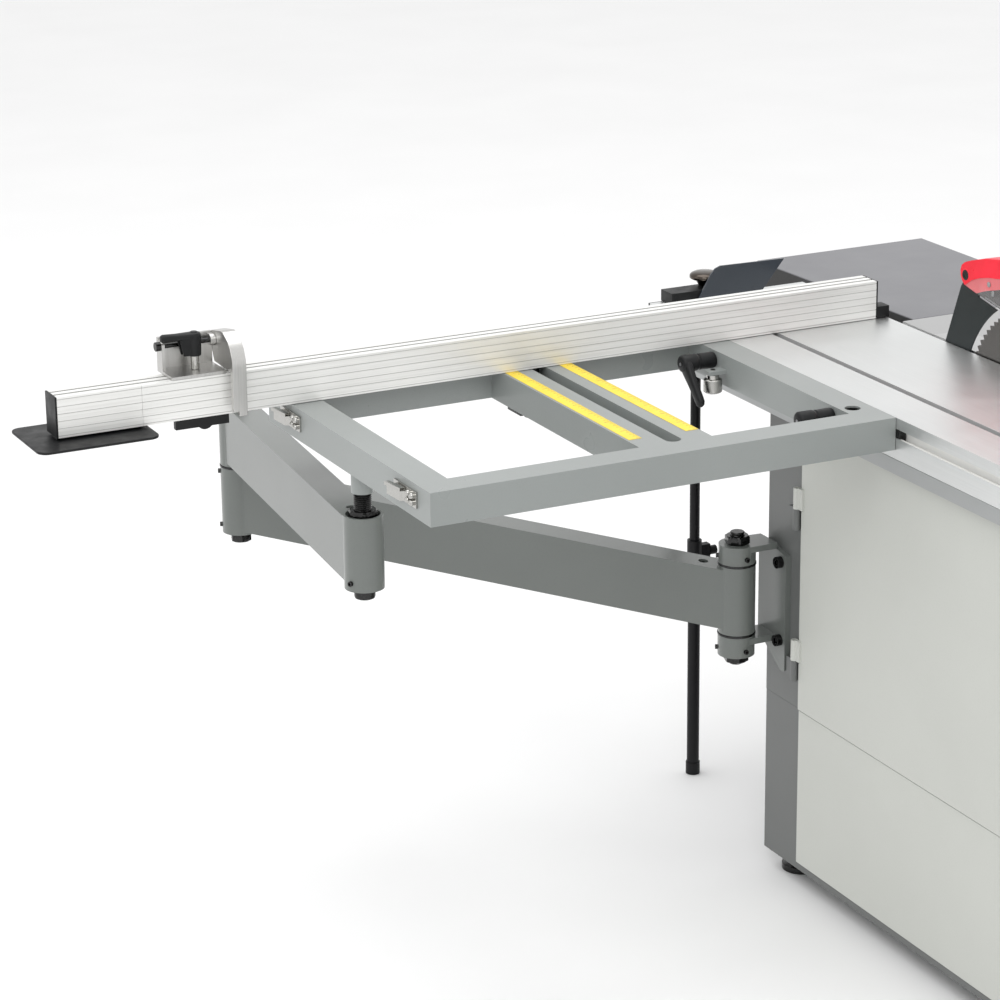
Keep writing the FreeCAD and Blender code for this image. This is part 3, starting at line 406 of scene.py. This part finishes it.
class Build:
    """Collects turned, swept and extruded forms, in millimetres, into one mesh."""

    def __init__(self):
        self.points = []
        self.faces = []

    def loops(self, loops):
        """Skins the rows of points and closes both ends."""
        count = len(loops[0])
        start = len(self.points)
        for loop in loops:
            self.points += loop
        for row in range(len(loops) - 1):
            for i in range(count):
                j = (i + 1) % count
                low = start + row * count
                self.faces.append((low + i, low + j, low + count + j, low + count + i))
        self.faces.append(tuple(start + i for i in reversed(range(count))))
        self.faces.append(tuple(start + (len(loops) - 1) * count + i for i in range(count)))

    def turned(self, centre, rings, axis=(0, 0, 1), segments=48):
        turn = Vector(axis).to_track_quat("Z", "Y").to_matrix()
        loops = []
        for height, radius in rings:
            loop = []
            for i in range(segments):
                angle = 2 * math.pi * i / segments
                r = radius(angle) if callable(radius) else max(radius, TIP)
                ray = Vector((r * math.cos(angle), r * math.sin(angle), height))
                loop.append(Vector(centre) + turn @ ray)
            loops.append(loop)
        self.loops(loops)

    def sweep(self, stations, power=2.8, segments=28):
        """stations: (centre, half width vector, half height vector)."""
        loops = []
        for centre, wide, high in stations:
            loop = []
            for i in range(segments):
                angle = 2 * math.pi * i / segments
                across, up = (math.copysign(abs(part) ** (2 / power), part)
                              for part in (math.cos(angle), math.sin(angle)))
                loop.append(Vector(centre) + Vector(wide) * across + Vector(high) * up)
            loops.append(loop)
        self.loops(loops)

    def prism(self, corners, vector):
        start = [Vector(c) for c in corners]
        self.loops([start, [c + Vector(vector) for c in start]])

    def finish(self, name, shader, body, replaced=(), bevel=0.0, sharp=32):
        mesh = bpy.data.meshes.new(name)
        mesh.from_pydata([p * MM for p in self.points], [], self.faces)
        work = bmesh.new()
        work.from_mesh(mesh)
        bmesh.ops.remove_doubles(work, verts=work.verts, dist=0.000002)
        bmesh.ops.recalc_face_normals(work, faces=work.faces)
        work.to_mesh(mesh)
        work.free()
        mesh.polygons.foreach_set("use_smooth", [True] * len(mesh.polygons))
        mesh.set_sharp_from_angle(angle=math.radians(sharp))
        mesh.materials.append(shader.mat)
        piece = bpy.data.objects.new(name, mesh)
        bpy.context.scene.collection.objects.link(piece)
        if bevel:
            edge = piece.modifiers.new("edge", "BEVEL")
            edge.width = bevel
            edge.segments = 3
            edge.limit_method = "ANGLE"
            edge.angle_limit = SHARP
            edge.harden_normals = True
        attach(piece, body)
        if replaced:
            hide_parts(*replaced)


def hexagonal(flats):
    """Radius of a hexagon at each angle, turned by 15 degrees."""
    def radius(angle):
        part = (math.degrees(angle) - 15) % 60 - 30
        return flats / 2 / math.cos(math.radians(part))
    return radius


def nut_rings(z0, z1, flats, bore):
    """Hexagon nut with its corners turned off at both faces."""
    chamfer = flats * 0.05
    round_edge = flats * 0.48
    return [(z0, bore), (z0, round_edge), (z0 + chamfer, hexagonal(flats)), (z1 - chamfer, hexagonal(flats)),
            (z1, round_edge), (z1, bore)]


def thread_rings(z0, z1, radius, pitch):
    """Thread as separate rings, one per pitch."""
    rings = []
    count = int((z1 - z0) / pitch)
    for i in range(count):
        z = z0 + i * pitch
        rings += [(z + pitch * 0.2, radius), (z + pitch * 0.3, radius),
                  (z + pitch * 0.75, radius - pitch * 0.5), (z + pitch * 0.8, radius - pitch * 0.5)]
    return rings


def set_screws(build, centre, z, angles, inside=BOLT_R):
    """Socket set screws through a boss, at the given angles around its axis."""
    for angle in angles:
        way = (math.cos(math.radians(angle)), math.sin(math.radians(angle)), 0)
        rings = [(inside, 4), (33.4, 4), (34, 3.5), (34, hexagonal(4)), (31, hexagonal(4)), (31, 0)]
        build.turned((*centre, z), rings, way, 24)


def stud(build, centre, z0, z1, radius, threads, chamfer=1.5, pitch=3.0):
    """Upright bolt with chamfered ends; threads lists the lengths (from, to) that are threaded."""
    rings = [(z0, 0), (z0, radius - chamfer), (z0 + chamfer, radius)]
    for t0, t1 in threads:
        rings += [(t0, radius)] + thread_rings(t0, t1, radius, pitch) + [(t1, radius)]
    rings += [(z1 - chamfer, radius), (z1, radius - chamfer), (z1, 0)]
    build.turned((*centre, 0), rings, segments=40)


def washer(build, centre, z0, z1, radius, bore):
    rings = [(z0, bore), (z0, radius - 0.5), (z0 + 0.5, radius),
             (z1 - 0.5, radius), (z1, radius - 0.5), (z1, bore)]
    build.turned((*centre, 0), rings, segments=64)


bolt = Build()
stud(bolt, BASE, 372, 596, BOLT_R, ((373.5, 376), (590, 594)))
bolt.turned((*BASE, 0), nut_rings(576, 590, NUT_FLATS, BOLT_R))
bolt.turned((*BASE, 0), nut_rings(376, 389, NUT_FLATS, BOLT_R))
washer(bolt, BASE, 423.4, 427.1, RING_R, BOLT_R)
washer(bolt, BASE, 541.9, 545.6, RING_R, BOLT_R)
set_screws(bolt, BASE, 556, (155, 271))
set_screws(bolt, BASE, 400, (155, 271))
bolt.finish("base_bolt_detail", black_steel, "machine", ("base_pivot_bolt",))

bolt = Build()
stud(bolt, ELBOW, 513, 785, BOLT_R, ((765, 783),))
bolt.turned((*ELBOW, 0), nut_rings(765, 778, NUT_FLATS, BOLT_R))
bolt.turned((*ELBOW, 0), nut_rings(514, 528, 32, BOLT_R))
washer(bolt, ELBOW, 528, 531, 17, BOLT_R)
washer(bolt, ELBOW, 645, 648.6, RING_R, BOLT_R)
set_screws(bolt, ELBOW, 636, (158, 288))
set_screws(bolt, ELBOW, 543, (158, 288))
bolt.finish("elbow_bolt_detail", black_steel, "inner_swing_arm", ("elbow_bolt",))

bolt = Build()
stud(bolt, POST, 640, 796, POST_R, ((770, 794),))
bolt.turned((*POST, 0), nut_rings(754, 770, 41, POST_R))
bolt.turned((*POST, 0), [(631, 0), (631, 11), (633, 15), (636, 16), (646, 16), (649, 15), (649, 0)])
set_screws(bolt, POST, 662, (205,), POST_R)
bolt.finish("post_detail", black_steel, "outer_swing_arm", ("support_post",))


def lever(name, y, z, reach_y, reach_z, body, replaced):
    """Clamping lever on an axis along X: ribbed barrel, turned head, tapered grip."""
    build = Build()
    build.turned((0, y, z), [(-412.5, 0), (-412.5, 9), (-411.5, 12), (-409, 14), (-387, 14), (-384, 13),
                             (-383, 11.8), (-381, 11.8), (-380, 13), (-356, 13), (-354, 12.6), (-352.9, 12),
                             (-352.9, 0)], (1, 0, 0))
    length = math.hypot(reach_y, reach_z)
    way = Vector((0, reach_y / length, reach_z / length))
    across = Vector((0, -way.z, way.y))
    centre = Vector((-403.5, y, z))
    shape = ((-6, 11, 5.5), (0, 13.5, 7), (12, 13.4, 7), (24, 11.6, 6.8), (0.5 * length, 10.2, 6.5),
             (0.75 * length, 9, 6.2), (length - 6, 8.8, 6.2), (length + 2, 8.4, 5.8), (length + 6.5, 6, 4),
             (length + 8, 2, 1.4))
    build.sweep([(centre + way * t, across * w, (h, 0, 0)) for t, w, h in shape])
    build.finish(name, black_plastic, body, (replaced,), sharp=50)
    screw = Build()
    screw.turned((0, y, z), [(-413.2, hexagonal(5)), (-412.2, hexagonal(5)), (-411, 0)], (1, 0, 0), 24)
    screw.finish(name + "_screw", steel, body)


lever("far_lever_detail", 370, 864, -48, -51, "far_lever", "far_clamp_lever")
lever("near_lever_detail", 17, 864, 34, -61, "near_lever", "near_clamp_lever")

knob = Build()


def knurl(z):
    return lambda a: 15 - 0.4 * (abs(math.sin(18 * a + 0.9 * z)) + abs(math.sin(18 * a - 0.9 * z)))


knob.turned((-372, 338, 0), [(820, 0), (820, 9.5), (820.6, 12), (822, 13.8)]
            + [(823 + 0.8 * i, knurl(0.8 * i)) for i in range(25)]
            + [(843.2, 13.5), (844, 11), (844.2, 10), (850, 10), (850, 4), (858.5, 4), (858.5, 0)],
            segments=216)
knob.finish("index_knob_detail", nickel, "knob", ("index_knob",), sharp=40)

knob = Build()
knob.turned((-200, 665, 0), [(885, 0), (885, 5), (900.4, 5), (900.4, 10.5), (901.2, 11.5), (904, 12.5),
                             (908, 16), (911, 21), (912.6, 25), (913.6, 26), (917.2, 26), (919, 25.3),
                             (921, 23.2), (922.8, 19), (924, 12), (924.4, 0)], segments=64)
knob.finish("shoe_knob_detail", bronze, "shoe_grip", ("shoe_knob",), sharp=45)

grip = Build()
grip.turned((-1202, 436, 0), [(969, 0), (969, 9), (970, 10), (980, 10.4), (996, 10.8), (1001, 10.4),
                              (1004, 9), (1004.6, 6), (1006, 5), (1006, 0)])
grip.sweep([((-1195, 436, 999), (0, 9, 0), (0, 0, 5)), ((-1202, 436, 999), (0, 10.3, 0), (0, 0, 6)),
            ((-1214, 436, 999.6), (0, 9, 0), (0, 0, 5.6)), ((-1230, 436, 1000), (0, 7.4, 0), (0, 0, 5.2)),
            ((-1243, 436, 1000), (0, 6.6, 0), (0, 0, 6)), ((-1251, 436, 1000), (0, 6.4, 0), (0, 0, 6.4)),
            ((-1254.4, 436, 1000), (0, 4.4, 0), (0, 0, 4.6)), ((-1255, 436, 1000), (0, 1, 0), (0, 0, 1))])
for y in (428.5, 440.5):
    grip.prism([(-1204, y, 970.5), (-1221, y, 971), (-1227, y, 996), (-1204, y, 997)], (0, 3, 0))
grip.prism([(-1204, 430, 972), (-1219, 430, 972.5), (-1224, 430, 996), (-1204, 430, 996)], (0, 12, 0))
grip.finish("stop_lever_detail", black_plastic, "stop_handle", ("stop_lever",), 0.0006, 50)
sleeve = Build()
sleeve.turned((-1202, 436, 0), [(944, 0), (944, 5), (948.4, 5), (948.4, 6), (949, 6.5), (968.6, 6.5),
                                (969, 6), (969, 0)])
sleeve.finish("stop_stud_detail", nickel, "stop_handle")

# guard: opaque cap, see-through side plates, trim strip and screws
GUARD_HALF = 14.0
GUARD_INSIDE = 11.2
GUARD_BOLT_AT = (0, 173, 1004)
CAP_TOP = [(174.5, 987.7), (182, 994), (186, 1002), (187, 1010), (184, 1018), (176, 1024), (157, 1031),
           (122, 1041), (82, 1048), (40, 1052), (-10, 1053), (-60, 1051), (-110, 1045), (-150, 1034),
           (-176, 1020), (-188, 1004), (-192, 985), (-192, 962)]
CAP_LOW = [(-192, 962), (-186, 976), (-174, 989), (-140, 1005), (-100, 1014), (-60, 1018), (20, 1020.5),
           (80, 1018), (110, 1013.5), (133, 1008), (155, 1000), (174.5, 987.7)]
cap = Build()
outline = CAP_TOP + CAP_LOW[1:-1]
for x in (-GUARD_HALF, GUARD_HALF - 3):
    cap.prism([(x, y, z) for y, z in outline], (3, 0, 0))
for (ya, za), (yb, zb) in zip(CAP_TOP, CAP_TOP[1:]):
    a, b = Vector((-GUARD_INSIDE, ya, za)), Vector((-GUARD_INSIDE, yb, zb))
    toward = Vector((0, -(ya + yb) / 2, 985 - (za + zb) / 2)).normalized() * 3.5
    cap.prism([a, b, b + toward, a + toward], (2 * GUARD_INSIDE, 0, 0))
for x0, x1 in ((-GUARD_INSIDE, -1.5), (1.5, GUARD_INSIDE)):
    cap.turned(GUARD_BOLT_AT, [(x0, 4), (x0, 7), (x1, 7), (x1, 4)], (1, 0, 0), 32)
cap.finish("guard_cap", guard_red, "blade_unit", ("blade_guard",), 0.0008, 25)

ARC = [(-192, 950), (-170, 966), (-120, 987), (-60, 999), (0, 1004.5), (50, 1004.5), (78.4, 1001.3),
       (104.9, 994.2), (120.9, 989.4), (142.9, 981.3)]
plates = Build()
smoke = Build()
tinted = [(174.5, 987.7)] + list(reversed(CAP_LOW[1:-1])) + [(-192, 962)] + ARC
for x in (-GUARD_INSIDE - 2, GUARD_INSIDE):
    plates.prism([(x, y, z) for y, z in tinted], (2, 0, 0))
    smoke.prism([(x, y, z) for y, z in ARC + [(-192, 928)]], (2, 0, 0))
clear_red = clear_tint("guard_clear_red", (0.95, 0.22, 0.24), 0.55)
smoke_grey = clear_tint("guard_smoke", (0.13, 0.125, 0.125), 0.62)
plates.finish("guard_side_plates", clear_red, "blade_unit", sharp=25)
smoke.finish("guard_lower_plates", smoke_grey, "blade_unit", sharp=25)

trim = Build()
for x in (-13.9, 13.1):
    trim.prism([(x, 118, 979.6), (x, 118, 982), (x, -186, 932.6), (x, -186, 930.2)], (0.8, 0, 0))
for y, z in ((109, 1003), (97, 991), (-60, 985), (-150, 975)):
    for sign in (-1, 1):
        trim.turned((0, y, z), [(12.9, 0), (12.9, 4.2), (14.3, 4.2), (15, 3), (15, 0)], (sign, 0, 0), 24)
trim.finish("guard_trim", steel, "blade_unit", sharp=30)
pin = Build()
socket = hexagonal(8)
pin.turned(GUARD_BOLT_AT, [(-14.1, 0), (-14.1, socket), (-14.6, socket), (-14.6, 7.6), (-14.1, 8.3),
                           (-13, 8.3), (-13, 4), (13, 4), (13, 8.3), (14.1, 8.3), (14.6, 7.6),
                           (14.6, socket), (14.1, socket), (14.1, 0)], (1, 0, 0), 48)
pin.finish("guard_bolt", black_steel, "blade_unit", sharp=30)

# painted shade: thin black strips standing in the shadow gaps along the door's two upright edges
gap_shade_strip = Build()
for y0, y1 in ((205.4, 208.6), (-377.8, -375.2)):
    gap_shade_strip.prism([(-280.9, y0, 315), (-280.9, y1, 315), (-280.9, y1, 781), (-280.9, y0, 781)], (2.6, 0, 0))
gap_shade_strip.finish("door_gap_shade", rubber, "door")


def fins(angle):
    """Outer radius of the motor's finned body, 20 fins around."""
    return 65 if math.sin(20 * angle) > -0.2 else 60.5


MOTOR_Z = 595
motor = Build()
motor.turned((0, 0, MOTOR_Z), [(94, 9.1), (94, 60), (96, 63), (104, 64), (104, fins), (226, fins), (226, 64),
                               (244, 64), (244, 9.1)], (1, 0, 0), 240)
motor.turned((0, 0, MOTOR_Z), [(244, 10), (244, 60), (246, 61), (257, 61), (261, 57), (262, 50), (262, 44),
                               (260, 44), (260, 10)], (1, 0, 0), 64)
for x0, x1, half, z, height in ((130, 200, 30, 59, 26), (127.5, 202.5, 32, 85, 2)):  # terminal box, its lid
    motor.prism([(x0, -half, MOTOR_Z + z), (x1, -half, MOTOR_Z + z), (x1, half, MOTOR_Z + z),
                 (x0, half, MOTOR_Z + z)], (0, 0, height))
motor.finish("motor_detail", motor_paint, "blade_unit", ("motor",), sharp=30)

screws = Build()
for y in (-230, 0, 259):
    screws.turned((50, y, 0), [(876, 0), (876, 2), (879.2, 3.9), (879.5, 3.9), (879.5, hexagonal(3.6)),
                               (877.5, hexagonal(3.6)), (877.5, 0)], segments=24)
screws.finish("insert_screws", black_steel, "machine")

# --- floor, light and camera ---------------------------------------------------------------------
bpy.ops.mesh.primitive_plane_add(size=60, location=(0, 0, -0.0005))
floor = bpy.context.object
floor.name = "floor"
floor_paint = Shader("floor_white", specular=0.2)
floor_paint.feed("Base Color", floor_paint.grey_ramp(floor_paint.noise(2, 2), 0.86, 0.88))
floor_paint.set("Roughness", 0.8)
floor.data.materials.append(floor_paint.mat)

world = bpy.data.worlds.new("studio")
bpy.context.scene.world = world
world.use_nodes = True
backdrop = world.node_tree.nodes["Background"]
backdrop.inputs["Color"].default_value = (1, 1, 1, 1)
backdrop.inputs["Strength"].default_value = 1.0
bpy.context.scene.view_settings.view_transform = "Standard"


def softbox(name, place, target, width, height, power):
    data = bpy.data.lights.new(name, "AREA")
    data.shape = "RECTANGLE"
    data.size = width
    data.size_y = height
    data.energy = power
    lamp = bpy.data.objects.new(name, data)
    bpy.context.scene.collection.objects.link(lamp)
    lamp.location = place
    way = Vector(target) - Vector(place)
    lamp.rotation_euler = way.to_track_quat("-Z", "Y").to_euler()


softbox("key", (-3.5, -4.0, 5.0), (-0.5, 0, 0.8), 3.0, 3.0, 90)
softbox("top", (-0.6, 1.2, 5.5), (-0.5, 0.2, 0.8), 4.0, 4.0, 92)
softbox("side", (-5.5, 1.5, 2.5), (-0.6, 0.2, 0.7), 2.5, 2.5, 12)

LENS_MM = 118.78
CAMERA_AT = (-2.8786, -3.9994, 2.2879)
CAMERA_TURN = (26.16, 18.186, 0.669)    # yaw to the right, pitch down, roll
camera_data = bpy.data.cameras.new("camera")
camera_data.sensor_width = 36.0
camera_data.lens = LENS_MM
camera = bpy.data.objects.new("camera", camera_data)
bpy.context.scene.collection.objects.link(camera)
yaw, pitch, roll = (math.radians(angle) for angle in CAMERA_TURN)
right = Vector((math.cos(yaw), -math.sin(yaw), 0))
forward = Vector((math.sin(yaw) * math.cos(pitch), math.cos(yaw) * math.cos(pitch), -math.sin(pitch)))
down = forward.cross(right)
side = right * math.cos(roll) + down * math.sin(roll)
low = down * math.cos(roll) - right * math.sin(roll)
camera.matrix_world = Matrix((
    (side.x, -low.x, -forward.x, CAMERA_AT[0]),
    (side.y, -low.y, -forward.y, CAMERA_AT[1]),
    (side.z, -low.z, -forward.z, CAMERA_AT[2]),
    (0, 0, 0, 1)))
bpy.context.scene.camera = camera
